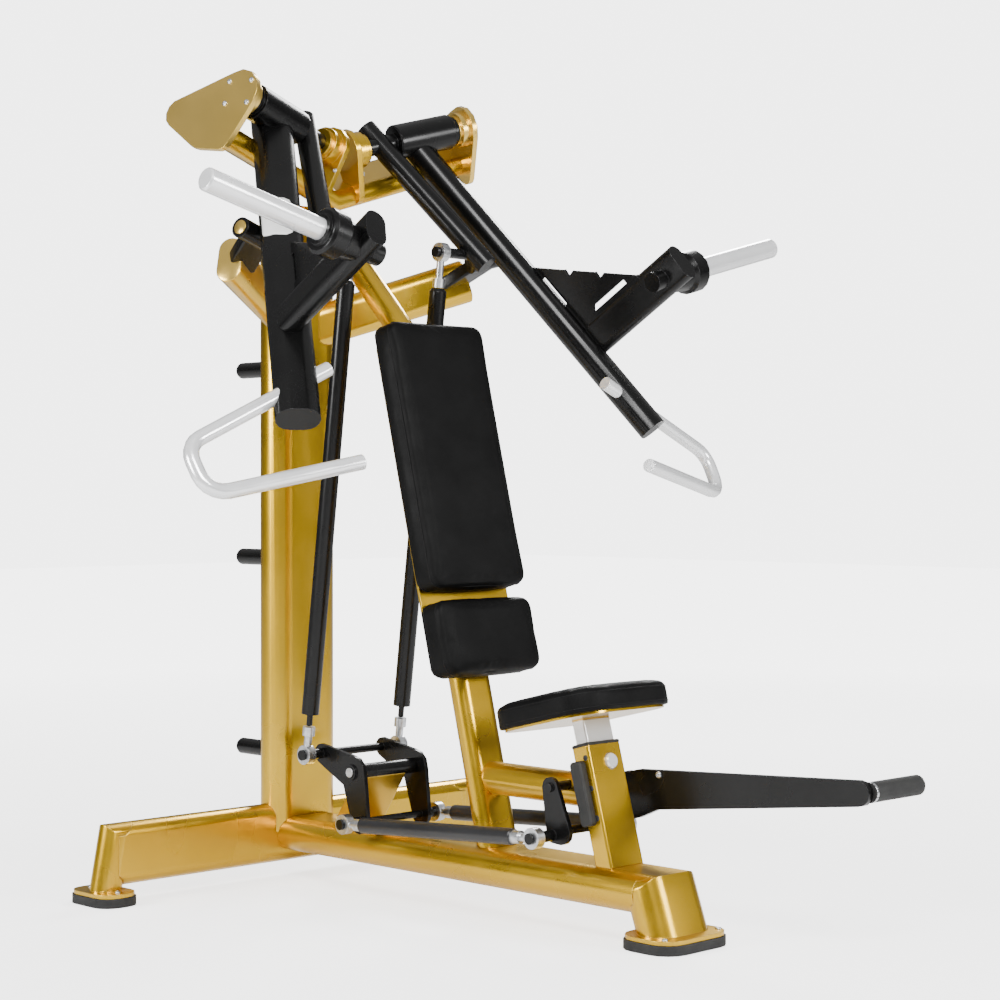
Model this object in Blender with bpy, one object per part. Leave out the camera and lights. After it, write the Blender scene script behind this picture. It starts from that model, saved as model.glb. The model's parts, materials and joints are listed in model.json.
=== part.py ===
"""Plate-loaded chest press machine, built as separate named sub-parts.

Units are metres and +Z is up. The user sits facing -Y, so the user's left side is +X.
Places are written as spot(side, forward, up): side along X, forward measured from the column
towards the user's feet, and up from the floor. Both halves of the machine mirror each other
across X = 0, except the pedal, which is on the user's left.
"""

import math

import bmesh
import bpy
from mathutils import Matrix, Vector
from mathutils.geometry import intersect_line_line

# ---- Driving dimensions --------------------------------------------------------------------
GAP = 0.0003              # between pieces that touch
RUNNING = 0.0006          # radial play of a pin in its bore
PEDAL_REACH = 1.712       # column centre to the front of the pedal grip
PEG_REACH = 0.234         # column centre to the tips of the plate storage pegs
COLUMN_Y = (PEDAL_REACH - PEG_REACH) / 2

# Base
BEAM_Z = 0.112            # centre height of both base beams
REAR_BEAM = (0.150, 0.060)
MAIN_BEAM = (0.180, 0.088)
REAR_HALF_SPAN = 0.590
FRONT_FOOT_FORWARD = 1.274
PAD_THICKNESS = 0.021
FOOT_PLATE = 0.010
POST_WALL = 0.012
FOOT_TOP = PAD_THICKNESS + FOOT_PLATE
FOOT_LEAN_REAR = 0.040
FOOT_LEAN_FRONT = 0.070

# Column, yoke and back rest
COLUMN = (0.210, 0.100)
COLUMN_TOP = 1.700
PEG_HEIGHTS = {"bottom": 0.307, "middle": 0.805, "top": 1.293}
PEG_RADIUS = 0.021
BACK_FACE = (0.602, 1.066)  # forward and up, at the middle of the upper pad's front face
BACK_LEAN = math.radians(14.2)
BACK_TUBE = (0.110, 0.055)
STRUT_DIAMETER = 0.066
PAD_THICK = 0.064
PLATE_THICK = 0.006
UPPER_PAD = (0.300, 0.636, 0.0)     # width, height, and rise of its middle along the back
LOWER_PAD = (0.298, 0.172, -0.435)
BACK_PLATE = (0.284, 0.790, -0.100)

# Arm pivot: one straight axis on each side, rising and running forward as it goes outward
AXIS_FORWARD = 0.161
AXIS_UP = 1.821
AXIS_SLOPE_FORWARD = 0.200
AXIS_SLOPE_UP = 0.268
PLATE_THICKNESS = 0.0145
INNER_PLATE_AT = 0.024    # distances along the pivot axis from the centre plane
INNER_RING_END = 0.078
HUB_START = 0.170
HUB_END = 0.338
OUTER_RING_START = 0.350
OUTER_PLATE_AT = 0.377
SHAFT_RADIUS = 0.0225
HUB_RADIUS = 0.0445
RING_RADIUS = 0.046       # bearing housings on the plates
RING_STEP = 0.006

# Arm
ARM_TUBE = (0.100, 0.068)
BRACKET_TUBE = (0.094, 0.050)
HORN_RADIUS = 0.025
STOP_RADIUS = 0.053
HANDLE_RADIUS = 0.017
LEVER_RADIUS = 0.028

# Linkage
EYE_RADIUS = 0.0240
EYE_HALF_WIDTH = 0.011
ROD_RADIUS = 0.019
SLEEVE_RADIUS = 0.0215
SLEEVE_BORE = 0.0192
PUSH_ROD_SIDE = 0.150
PIN_RADIUS = 0.008
PIN_SHOULDER = 0.013
BALL_RADIUS = 0.0155      # swivel ball in each upper eye
BALL_PLAY = 0.0013
TILT_ROOM = 0.003         # lets an upper eye tilt beside its pin's shoulders
OPEN_PLAY = 0.0012        # in the link rods' front eyes
LINK_SHANK = 0.062
CRANK_PIN = 0.011
ROCKER_PIN = 0.010
LINK_PLATE = 0.0105       # thickness of the rocker's and the crank's side plates
ROCKER_INNER = 0.0945
CRANK_LEFT = 0.0972       # inner faces of the crank's side plates
CRANK_RIGHT = 0.0830
LEVER_THICK = 0.016
KNUCKLE_UPPER = 0.088     # from an eye's centre to the end of its shank
KNUCKLE_LOWER = 0.070
ROCKER_PIVOT = (0.334, 0.296)
ROCKER_REAR_EYE = (0.220, 0.333)
ROCKER_LOW_EYE = (0.363, 0.179)
CRANK_PIVOT = (0.990, 0.322)
CRANK_EYE = (0.998, 0.217)
UPPER_EYE = (0.380, 1.570)

# Seat
POST_LEAN = math.radians(15.5)
SEAT_TILT = math.radians(13.3)
POST_TOP = (1.043, 0.412)
POST_SIZE = (0.108, 0.048)
SLIDER_SIZE = (0.088, 0.036)
KNOB_RADIUS = 0.0175
SEAT_SIZE = (0.326, 0.300, 0.053)
SEAT_MIDDLE = (1.008, 0.472)   # underside of the pad

LEFT, RIGHT = 1, -1
SIDE_NAMES = {LEFT: "left", RIGHT: "right"}
X_AXIS = Vector((1, 0, 0))
Y_AXIS = Vector((0, 1, 0))
Z_AXIS = Vector((0, 0, 1))

PAINTS = {
    "gold_paint": ((0.70, 0.45, 0.03), 0.28, 0.75),
    "black_paint": ((0.012, 0.012, 0.013), 0.32, 0.0),
    "chrome": ((0.90, 0.90, 0.90), 0.12, 1.0),
    "zinc": ((0.62, 0.63, 0.64), 0.30, 1.0),
    "rubber": ((0.010, 0.010, 0.010), 0.75, 0.0),
    "leatherette": ((0.008, 0.008, 0.009), 0.55, 0.0),
}


def spot(side, forward, up):
    """World point from its distances beside and in front of the column, and above the floor."""
    return Vector((side, COLUMN_Y - forward, up))


def facing(side, forward, up):
    """World direction with the same three components as spot."""
    return Vector((side, -forward, up)).normalized()


# ---- Scene helpers -------------------------------------------------------------------------
def clear_scene():
    for old in list(bpy.data.objects):
        bpy.data.objects.remove(old, do_unlink=True)


def make_paints():
    made = {}
    for name, (colour, roughness, metallic) in PAINTS.items():
        paint = bpy.data.materials.new(name)
        paint.use_nodes = True
        shader = paint.node_tree.nodes["Principled BSDF"]
        shader.inputs["Base Color"].default_value = (*colour, 1.0)
        shader.inputs["Roughness"].default_value = roughness
        shader.inputs["Metallic"].default_value = metallic
        made[name] = paint
    return made


def pivot(name, point):
    """An empty that a moving body's pieces are parented to, on the body's joint axis."""
    empty = bpy.data.objects.new(name, None)
    empty.location = point
    empty.empty_display_size = 0.05
    bpy.context.scene.collection.objects.link(empty)
    return empty


def axes(origin, along, across):
    """Placement whose Z runs along one direction and whose X lies as near another as it can."""
    z = along.normalized()
    x = (across - across.dot(z) * z).normalized()
    turn = Matrix((x, z.cross(x), z)).transposed()
    return Matrix.Translation(origin) @ turn.to_4x4()


def place(obj, frame, body):
    """Give an object its place in the world, and keep that place under its body's empty."""
    if body is not None:
        obj.parent = body
        obj.matrix_parent_inverse = Matrix.Translation(-body.location)
    obj.location = frame.to_translation()
    obj.rotation_euler = frame.to_euler()
    bpy.context.scene.collection.objects.link(obj)
    return obj


def finish_mesh(name, bm):
    bmesh.ops.remove_doubles(bm, verts=bm.verts, dist=1e-6)
    bmesh.ops.recalc_face_normals(bm, faces=bm.faces)
    mesh = bpy.data.meshes.new(name)
    bm.to_mesh(mesh)
    bm.free()
    mesh.shade_smooth()
    mesh.set_sharp_from_angle(angle=math.radians(35))
    return mesh


def add(name, bm, frame, paint, body=None):
    """A visible sub-part."""
    mesh = finish_mesh(name, bm)
    mesh.materials.append(MATERIALS[paint])
    return place(bpy.data.objects.new(name, mesh), frame, body)


def helper(bm, frame, body=None):
    """A hidden shape that cuts or welds a sub-part through a Boolean modifier."""
    obj = bpy.data.objects.new("helper", finish_mesh("helper", bm))
    obj.hide_render = True
    obj.display_type = "WIRE"
    return place(obj, frame, body)


def combine(target, shape, operation):
    change = target.modifiers.new(operation.title(), "BOOLEAN")
    change.operation = operation
    change.solver = "EXACT"
    change.object = shape
    return target


def cut(target, *shapes):
    for shape in shapes:
        combine(target, shape, "DIFFERENCE")
    return target


def weld(target, *shapes):
    for shape in shapes:
        combine(target, shape, "UNION")
    return target


# Placement for shapes drawn in the side view: local X is forward and local Y is up
PROFILE = axes(spot(0, 0, 0), -X_AXIS, -Y_AXIS)


# ---- Outlines and solids -------------------------------------------------------------------
def rounded_outline(width, height, radius, steps=4):
    """Corner-rounded rectangle, counter-clockwise. A radius of half the height gives an oval."""
    points = []
    inner_x = width / 2 - radius
    inner_y = height / 2 - radius
    for corner, (sx, sy) in enumerate(((1, 1), (-1, 1), (-1, -1), (1, -1))):
        for step in range(steps + 1):
            angle = math.pi / 2 * (corner + step / steps)
            point = Vector((sx * inner_x + radius * math.cos(angle),
                            sy * inner_y + radius * math.sin(angle)))
            if not points or (point - points[-1]).length > 1e-6:
                points.append(point)
    if (points[0] - points[-1]).length < 1e-6:
        points.pop()
    return points


def circle_outline(radius, steps=16):
    return [Vector((radius * math.cos(2 * math.pi * i / steps),
                    radius * math.sin(2 * math.pi * i / steps))) for i in range(steps)]


def hull_outline(discs, steps=12):
    """Outline of a flat plate wrapped tightly round discs given as (x, y, radius)."""
    cloud = []
    for x, y, radius in discs:
        cloud += [point + Vector((x, y)) for point in circle_outline(radius, steps)]
    cloud = sorted({(round(p.x, 6), round(p.y, 6)) for p in cloud})

    def half(points):
        chain = []
        for p in points:
            while len(chain) > 1 and ((chain[-1][0] - chain[-2][0]) * (p[1] - chain[-2][1])
                                      - (chain[-1][1] - chain[-2][1]) * (p[0] - chain[-2][0])) <= 0:
                chain.pop()
            chain.append(p)
        return chain[:-1]

    return [Vector(p) for p in half(cloud) + half(cloud[::-1])]


def prism(outline, low, high):
    """Outline in local XY, pulled along Z from one height to another."""
    bm = bmesh.new()
    base = bm.faces.new([bm.verts.new((p.x, p.y, min(low, high))) for p in outline])
    pulled = bmesh.ops.extrude_face_region(bm, geom=[base])["geom"]
    top = [v for v in pulled if isinstance(v, bmesh.types.BMVert)]
    bmesh.ops.translate(bm, verts=top, vec=(0, 0, abs(high - low)))
    return bm


def turned(profile, steps=16):
    """Solid of revolution about Z. The profile is (radius, z) pairs; its ends are closed."""
    bm = bmesh.new()
    rings = []
    for radius, z in profile:
        if radius < 1e-7:
            rings.append([bm.verts.new((0, 0, z))])
        else:
            rings.append([bm.verts.new((p.x, p.y, z)) for p in circle_outline(radius, steps)])
    for lower, upper in zip(rings, rings[1:]):
        for i in range(steps):
            j = (i + 1) % steps
            corners = [lower[i % len(lower)], lower[j % len(lower)],
                       upper[j % len(upper)], upper[i % len(upper)]]
            bm.faces.new(list(dict.fromkeys(corners)))
    for ring in (rings[0], rings[-1]):
        if len(ring) > 1:
            bm.faces.new(ring)
    return bm


def rounded_path(points, radius, steps=5):
    """Straight runs through the points, with each inner corner replaced by an arc."""
    path = [points[0]]
    for before, corner, after in zip(points, points[1:], points[2:]):
        to_before = (before - corner).normalized()
        to_after = (after - corner).normalized()
        half_angle = to_before.angle(to_after) / 2
        setback = radius / math.tan(half_angle)
        centre = corner + (to_before + to_after).normalized() * radius / math.sin(half_angle)
        first = corner + to_before * setback - centre
        last = corner + to_after * setback - centre
        sweep = first.angle(last)
        for step in range(steps + 1):
            t = step / steps
            arm = (first * math.sin((1 - t) * sweep) + last * math.sin(t * sweep)) / math.sin(sweep)
            path.append(centre + arm)
    return path + [points[-1]]


class Tube:
    """A closed tube of oval, round or box section that follows a path of world points."""

    def __init__(self, path, width, height, across, corner=None, steps=4):
        self.path = path
        self.size = (width, height)
        self.across = across
        self.corner = min(width, height) / 2 if corner is None else corner
        self.steps = steps
        self.frame = axes(path[0], path[1] - path[0], across)

    def solid(self, grow=0.0):
        width, height = (size + 2 * grow for size in self.size)
        outline = rounded_outline(width, height, self.corner + grow, self.steps)
        to_local = self.frame.inverted()
        path = [to_local @ point for point in self.path]
        path[0] -= (path[1] - path[0]).normalized() * grow
        path[-1] += (path[-1] - path[-2]).normalized() * grow
        across = to_local.to_3x3() @ self.across
        bm = bmesh.new()
        rings = []
        for index, point in enumerate(path):
            ahead = path[min(index + 1, len(path) - 1)] - point
            behind = point - path[max(index - 1, 0)]
            place_here = axes(point, ahead.normalized() + behind.normalized(), across)
            rings.append([bm.verts.new(place_here @ p.to_3d()) for p in outline])
        for lower, upper in zip(rings, rings[1:]):
            for i in range(len(outline)):
                j = (i + 1) % len(outline)
                bm.faces.new((lower[i], lower[j], upper[j]))
                bm.faces.new((lower[i], upper[j], upper[i]))
        bm.faces.new(rings[0])
        bm.faces.new(rings[-1])
        return bm

    def add(self, name, paint, body=None):
        return add(name, self.solid(), self.frame, paint, body)

    def cutter(self, grow=GAP, body=None):
        """The same tube, a little larger, to cut a neighbour to its shape."""
        return helper(self.solid(grow), self.frame, body)


def rod(start, end, radius, steps=4):
    """Round straight Tube."""
    along = end - start
    across = X_AXIS if abs(along.normalized().x) < 0.8 else Z_AXIS
    return Tube([start, end], 2 * radius, 2 * radius, across, steps=steps)


def beyond(point, direction, body=None, size=0.5):
    """A large block that takes away everything past the point in the given direction."""
    outline = rounded_outline(size, size, size / 50, 1)
    across = X_AXIS if abs(direction.normalized().x) < 0.8 else Y_AXIS
    return helper(prism(outline, 0, size), axes(point, direction, across), body)


def washer_stack(discs):
    """Profile of coaxial steps given as (radius, from z, to z)."""
    return [(radius, z) for radius, low, high in discs for z in (low, high)]


# ---- Base ----------------------------------------------------------------------------------
def arch(width, low, top, corner_radius, extent, frame):
    """Block under a rounded top, which trims a foot tube to its beam's own roof line."""
    height = top - low
    outline = [p + Vector((0, low + height / 2)) for p in
               rounded_outline(width, height, corner_radius)]
    return helper(prism(outline, -extent, extent), frame)


def rear_beam():
    ends = [spot(-REAR_HALF_SPAN + 0.022, 0, BEAM_Z), spot(REAR_HALF_SPAN - 0.022, 0, BEAM_Z)]
    return Tube(ends, *REAR_BEAM, Z_AXIS)


def main_beam():
    ends = [spot(0, 0, BEAM_Z), spot(0, FRONT_FOOT_FORWARD + 0.030, BEAM_Z)]
    return Tube(ends, *MAIN_BEAM, X_AXIS)


def beam_reach(grow):
    """Everything behind the front post's front wall: the main beam ends inside this."""
    middle = spot(0, 0.600, BEAM_Z)
    block = prism(rounded_outline(0.5, 1.262 + 2 * grow, 0.01, 1), -0.2, 0.2)
    return weld(front_post().cutter(grow - POST_WALL), helper(block, Matrix.Translation(middle)))


def rear_post(side):
    return Tube([spot(side * REAR_HALF_SPAN, 0, 0.010),
                 spot(side * (REAR_HALF_SPAN - FOOT_LEAN_REAR), 0, 0.215)], 0.080, 0.058, X_AXIS)


def front_post():
    return Tube([spot(0, FRONT_FOOT_FORWARD, 0.010),
                 spot(0, FRONT_FOOT_FORWARD - FOOT_LEAN_FRONT, 0.205)], 0.178, 0.098, X_AXIS)


def foot(name, post, plate_outline, plate_centre, arch_block):
    """A short post with a bevelled floor plate welded under it."""
    obj = post.add(name, "gold_paint")
    combine(obj, arch_block, "INTERSECT")
    frame = Matrix.Translation(plate_centre)
    cut(obj, beyond(plate_centre + Vector((0, 0, FOOT_TOP - FOOT_PLATE / 2)), -Z_AXIS))
    return weld(obj, helper(prism(plate_outline, PAD_THICKNESS + GAP, FOOT_TOP), frame))


def build_base():
    rear = rear_beam().add("rear_crossbeam", "gold_paint")
    main = main_beam().add("main_beam", "gold_paint")
    cut(combine(main, beam_reach(0), "INTERSECT"), rear_beam().cutter())
    for side, name in SIDE_NAMES.items():
        post = rear_post(side)
        cut(rear, post.cutter())
        centre = spot(side * REAR_HALF_SPAN, 0, 0)
        outline = rounded_outline(0.104, 0.160, 0.042)
        roof = arch(REAR_BEAM[1], 0.0, BEAM_Z + REAR_BEAM[0] / 2, REAR_BEAM[1] / 2, 0.2,
                    axes(centre, X_AXIS, Y_AXIS))
        foot(f"rear_foot_{name}", post, outline, centre, roof)
        sole = rounded_outline(0.112, 0.168, 0.046)
        here = Matrix.Translation(centre)
        add(f"rear_foot_pad_{name}", prism(sole, 0, PAD_THICKNESS), here, "rubber")
    centre = spot(0, FRONT_FOOT_FORWARD, 0)
    roof = arch(MAIN_BEAM[0], 0.0, BEAM_Z + MAIN_BEAM[1] / 2, MAIN_BEAM[1] / 2, 0.3,
                axes(centre, -Y_AXIS, X_AXIS))
    block = foot("front_foot", front_post(), rounded_outline(0.214, 0.152, 0.050), centre, roof)
    cut(block, combine(main_beam().cutter(), beam_reach(GAP), "INTERSECT"))
    sole = rounded_outline(0.222, 0.160, 0.055)
    add("front_foot_pad", prism(sole, 0, PAD_THICKNESS), Matrix.Translation(centre), "rubber")


# ---- Column and its two V-shaped crossbeams --------------------------------------------------
def axis_point(side, distance):
    """Point of an arm's pivot axis, by its distance from the centre plane along the axis."""
    start = spot(0, AXIS_FORWARD, AXIS_UP)
    return start + distance * axis_direction(side)


def axis_direction(side):
    return facing(side, AXIS_SLOPE_FORWARD, AXIS_SLOPE_UP)


def hub_frame(side):
    """Z along the pivot axis, outward; X towards the rear; Y up on the left, down on the right."""
    return axes(axis_point(side, 0), axis_direction(side), Y_AXIS)


def upper_yoke():
    ends = [spot(side * 0.430, 0.142, 1.864) for side in (RIGHT, LEFT)]
    across = facing(0, -0.90, 0.40)
    return Tube([ends[0], spot(0, 0.098, 1.724), ends[1]], 0.150, 0.058, across)


def lower_yoke():
    ends = [spot(side * 0.384, 0.219, 1.524) for side in (RIGHT, LEFT)]
    return Tube([ends[0], spot(0, 0.0, 1.382), ends[1]], 0.112, 0.062, Z_AXIS)


def column():
    return Tube([spot(0, 0, 0.118), spot(0, 0, COLUMN_TOP)], *COLUMN, X_AXIS)


def build_column():
    neighbours = (rear_beam(), main_beam(), upper_yoke(), lower_yoke())
    cut(column().add("column", "gold_paint"), *[tube.cutter() for tube in neighbours])
    for name, height in PEG_HEIGHTS.items():
        length = PEG_REACH - COLUMN[1] / 2
        tip = [(PEG_RADIUS * math.cos(a), length - 0.010 + 0.010 * math.sin(a))
               for a in (math.radians(d) for d in (0, 30, 60, 90))]
        profile = [(PEG_RADIUS, GAP)] + tip
        frame = axes(spot(0, -COLUMN[1] / 2, height), Y_AXIS, X_AXIS)
        add(f"storage_peg_{name}", turned(profile), frame, "black_paint")


def outer_plate_outline(side):
    return hull_outline([(0, 0, 0.058), (0.184, -side * 0.044, 0.036),
                         (0.094, -side * 0.104, 0.034), (0.022, -side * 0.122, 0.022)])


def inner_plate_outline(side):
    return hull_outline([(0, 0, 0.057), (0.004, -side * 0.098, 0.034)])


def shaft_bore(low, high, frame):
    return helper(prism(circle_outline(SHAFT_RADIUS + RUNNING), low, high), frame)


def build_yoke():
    yoke = upper_yoke().add("upper_crossbeam", "gold_paint")
    lower_yoke().add("lower_crossbeam", "gold_paint")
    for side, name in SIDE_NAMES.items():
        frame = hub_frame(side)
        cut(yoke, beyond(axis_point(side, OUTER_PLATE_AT - GAP), axis_direction(side)))

        plate = prism(outer_plate_outline(side), OUTER_PLATE_AT, OUTER_PLATE_AT + PLATE_THICKNESS)
        outer = add(f"outer_bearing_plate_{name}", plate, frame, "gold_paint")
        step_at = OUTER_RING_START + RING_STEP
        ring = washer_stack([(RING_RADIUS - 0.008, OUTER_RING_START, step_at),
                             (RING_RADIUS, step_at, OUTER_PLATE_AT + 0.002)])
        weld(outer, helper(turned(ring), frame))
        cut(outer, shaft_bore(OUTER_RING_START - 0.01, OUTER_PLATE_AT + 0.004, frame))

        plate = prism(inner_plate_outline(side), INNER_PLATE_AT, INNER_PLATE_AT + PLATE_THICKNESS)
        inner = add(f"inner_bearing_plate_{name}", plate, frame, "gold_paint")
        step_at = INNER_RING_END - 2 * RING_STEP
        ring = washer_stack([(RING_RADIUS, INNER_PLATE_AT + 0.010, step_at),
                             (RING_RADIUS - 0.008, step_at, INNER_RING_END)])
        weld(inner, helper(turned(ring), frame))
        cut(inner, shaft_bore(INNER_PLATE_AT + 0.006, INNER_RING_END + 0.01, frame))
        cut(inner, upper_yoke().cutter())


# ---- Arm -----------------------------------------------------------------------------------
ARM_TOP = (0.225, 0.176, 1.884)
ARM_FOOT = (0.575, 0.705, 1.131)
BRACKET_ROOT = (0.493, 0.565, 1.354)
BRACKET_CAP = (0.496, 0.869, 1.536)
HORN_TIP = (0.907, 0.817, 1.604)
HORN_RISE = 0.257
WEB_LEGS = (0.196, 0.223)
YOKE_CLEARANCE = 0.004    # between the arm tube's hollowed back and the upper crossbeam
REST_AT = 0.365           # along the arm tube from its top
REST_RADIUS = 0.025
LEVER_FOOT = (0.262, 0.428, 1.5415)
HANDLE_CORNERS = ((0.450, 0.656, 1.246), (0.836, 0.657, 1.072),
                  (0.824, 0.716, 0.968), (0.465, 0.789, 1.040))


def on_side(side, place_of):
    return spot(side * place_of[0], place_of[1], place_of[2])


def arm_tube(side):
    top = on_side(side, ARM_TOP)
    foot_point = on_side(side, ARM_FOOT)
    along = foot_point - top
    return Tube([top, foot_point], *ARM_TUBE, along.cross(Z_AXIS))


def hub_solid():
    """Shaft, collar and hub drum as one turned piece on the pivot axis."""
    profile = washer_stack([
        (SHAFT_RADIUS, INNER_PLATE_AT + 0.008, HUB_START - 0.002),
        (HUB_RADIUS - 0.003, HUB_START - 0.002, HUB_START),
        (HUB_RADIUS, HUB_START, HUB_END - 0.003),
        (0.036, HUB_END - 0.003, OUTER_RING_START - 0.001),
        (SHAFT_RADIUS, OUTER_RING_START - 0.001, OUTER_PLATE_AT + 0.003),
    ])
    return turned(profile)


def handle_tube(side):
    corners = [on_side(side, corner) for corner in HANDLE_CORNERS]
    leg = corners[1] - corners[0]
    across = leg.cross(corners[2] - corners[1])
    return Tube(rounded_path(corners, 0.052), 2 * HANDLE_RADIUS, 2 * HANDLE_RADIUS, across, steps=4)


def start_lever(side):
    crossing = axis_point(side, 0.1266)
    foot_point = on_side(side, LEVER_FOOT)
    top = crossing + (crossing - foot_point).normalized() * 0.060
    return rod(top, foot_point, LEVER_RADIUS)


def horn_line(side):
    """Tip of a loading horn and the direction it points."""
    tip = on_side(side, HORN_TIP)
    along = facing(side, 0, HORN_RISE)
    return tip, along


def bracket_tube(side):
    root = on_side(side, BRACKET_ROOT)
    cap = on_side(side, BRACKET_CAP)
    arm = arm_tube(side)
    return Tube([root, cap], *BRACKET_TUBE, arm.path[1] - arm.path[0])


def gusset(side, body):
    """Flat web between arm and bracket, with two edge slots and two notches in its free edge."""
    arm, bracket = arm_tube(side), bracket_tube(side)
    up_arm = (arm.path[0] - arm.path[1]).normalized()
    out_bracket = (bracket.path[1] - bracket.path[0]).normalized()
    crossing = intersect_line_line(*arm.path, *bracket.path)[0]
    corner = crossing + up_arm * BRACKET_TUBE[0] / 2 + out_bracket * ARM_TUBE[1] / 2
    frame = axes(corner, up_arm.cross(out_bracket), up_arm)
    skew = up_arm.dot(out_bracket)
    rise = math.sqrt(1 - skew * skew)

    def sheet(points, thickness):
        outline = [Vector((a + b * skew, b * rise)) for a, b in points]
        return helper(prism(outline, -thickness / 2, thickness / 2), frame, body)

    bury, notch = -0.016, 0.012
    stations = (0, 0.33, 0.37, 0.41, 0.62, 0.66, 0.70, 1)
    free = [(WEB_LEGS[0] * (1 - t), WEB_LEGS[1] * t) for t in stations]
    for index in (2, 5):
        free[index] = (free[index][0] - notch, free[index][1] - notch)
    web = sheet([(bury, bury), (WEB_LEGS[0], bury)] + free + [(bury, WEB_LEGS[1])], 0.008)
    arm_slot = sheet([(0.050, 2 * bury), (0.152, 2 * bury), (0.152, 0.014), (0.064, 0.014)], 0.02)
    bracket_slot = sheet([(0.001, 0.060), (0.014, 0.072), (0.014, 0.186), (0.001, 0.186)], 0.02)
    return cut(web, arm_slot, bracket_slot)


def build_arm(side, name, body):
    frame = hub_frame(side)
    add(f"arm_hub_{name}", hub_solid(), frame, "black_paint", body)
    drum = [(HUB_RADIUS + GAP, HUB_START - 0.02), (HUB_RADIUS + GAP, HUB_END + 0.02)]
    tube = arm_tube(side).add(f"arm_tube_{name}", "black_paint", body)
    cut(tube, helper(turned(drum), frame, body), handle_tube(side).cutter(body=body),
        upper_yoke().cutter(YOKE_CLEARANCE, body))

    lever = start_lever(side).add(f"start_lever_{name}", "black_paint", body)
    eye = spot(side * PUSH_ROD_SIDE, *UPPER_EYE)
    half = EYE_HALF_WIDTH + TILT_ROOM
    pin = turned(washer_stack([(PIN_SHOULDER, -half - 0.008, -half), (PIN_RADIUS, -half, half),
                               (PIN_SHOULDER, half, 0.243 - PUSH_ROD_SIDE)]))
    pin_frame = axes(eye, side * X_AXIS, Z_AXIS)
    weld(lever, helper(pin, pin_frame, body), helper(ball(BALL_RADIUS), pin_frame, body))
    shaft = prism(circle_outline(SHAFT_RADIUS + GAP), 0.05, HUB_START + 0.01)
    cut(lever, helper(shaft, frame, body))

    tip, along = horn_line(side)
    root_distance = (tip.x * side - BRACKET_CAP[0]) / abs(along.x)
    heart = tip - along * root_distance
    boss = rod(heart - along * 0.054, heart, HORN_RADIUS)

    bracket = bracket_tube(side).add(f"horn_bracket_{name}", "black_paint", body)
    weld(bracket, gusset(side, body), boss.cutter(0, body))
    cut(bracket, arm_tube(side).cutter(body=body))

    horn_frame = axes(heart, along, Y_AXIS)
    horn_profile = [(HORN_RADIUS, 0.0), (HORN_RADIUS, root_distance - 0.004),
                    (HORN_RADIUS - 0.004, root_distance)]
    horn = add(f"loading_horn_{name}", turned(horn_profile), horn_frame, "chrome", body)
    cut(horn, bracket_tube(side).cutter(body=body))
    stop_profile = [(0.036, 0.0), (0.044, 0.060), (STOP_RADIUS, 0.068), (STOP_RADIUS, 0.106),
                    (STOP_RADIUS - 0.007, 0.112), (0.036, 0.112), (0.034, 0.118)]
    stop = add(f"plate_stop_{name}", turned(stop_profile), horn_frame, "black_paint", body)
    cut(stop, bracket_tube(side).cutter(body=body),
        helper(prism(circle_outline(HORN_RADIUS + GAP), -0.05, 0.2), horn_frame, body))

    handle_tube(side).add(f"handle_{name}", "chrome", body)


def build_bumper(side, name):
    """Rubber-faced rest under the arm tube, on a block that stands out from the lower crossbeam."""
    tube = arm_tube(side)
    along = (tube.path[1] - tube.path[0]).normalized()
    pivot_axis = axis_direction(side)
    clear = pivot_axis.cross(along).normalized()
    clear = clear if clear.y > 0 else -clear
    broad = abs(clear.dot(tube.across.normalized()))
    reach = (ARM_TUBE[0] - ARM_TUBE[1]) / 2 * broad + ARM_TUBE[1] / 2
    rest_at = tube.path[0] + along * REST_AT + clear * (reach + REST_RADIUS + 0.0010)
    rest = rod(rest_at - pivot_axis * 0.055, rest_at + pivot_axis * 0.062, REST_RADIUS)
    obj = rest.add(f"arm_rest_{name}", "black_paint")
    base = spot(side * 0.338, 0.190, 1.506)
    base += (rest_at - base).normalized() * 0.016
    block = Tube([base, rest_at], 0.072, 0.034, pivot_axis, corner=0.006, steps=2)
    cut(weld(obj, block.cutter(0)), lower_yoke().cutter())


# ---- Back rest and seat --------------------------------------------------------------------
def seat_tube():
    return rod(spot(0, 0.705, 0.310), spot(0, 1.085, 0.310), 0.0385)


def along_post(distance):
    """Point on the seat post's middle line, by its distance above the post's top."""
    up = facing(0, -math.sin(POST_LEAN), math.cos(POST_LEAN))
    return spot(0, *POST_TOP) + up * distance


def post_tube(low, high, size, corner):
    return Tube([along_post(low), along_post(high)], *size, X_AXIS, corner=corner, steps=3)


def seat_post():
    return post_tube(-0.330, 0, POST_SIZE, 0.006)


def back_frame():
    """Placement of the back rest: X to the side, Y up along the pads, Z out of their faces."""
    return axes(spot(0, *BACK_FACE), facing(0, math.cos(BACK_LEAN), math.sin(BACK_LEAN)), X_AXIS)


def back_sheet(size, radius, low, high):
    """Rounded slab parallel to the pads, from one depth behind their faces to another."""
    width, height, rise = size
    outline = [p + Vector((0, rise)) for p in rounded_outline(width, height, radius, 4)]
    return prism(outline, low, high)


def back_tube():
    depth = PAD_THICK + PLATE_THICK + 2 * GAP + BACK_TUBE[1] / 2
    ends = [back_frame() @ Vector((0, rise, -depth)) for rise in (-0.950, 0.325)]
    return Tube(ends, *BACK_TUBE, X_AXIS)


def back_strut():
    return rod(spot(0, 0.085, 1.690), spot(0, 0.428, 1.338), STRUT_DIAMETER / 2)


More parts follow.
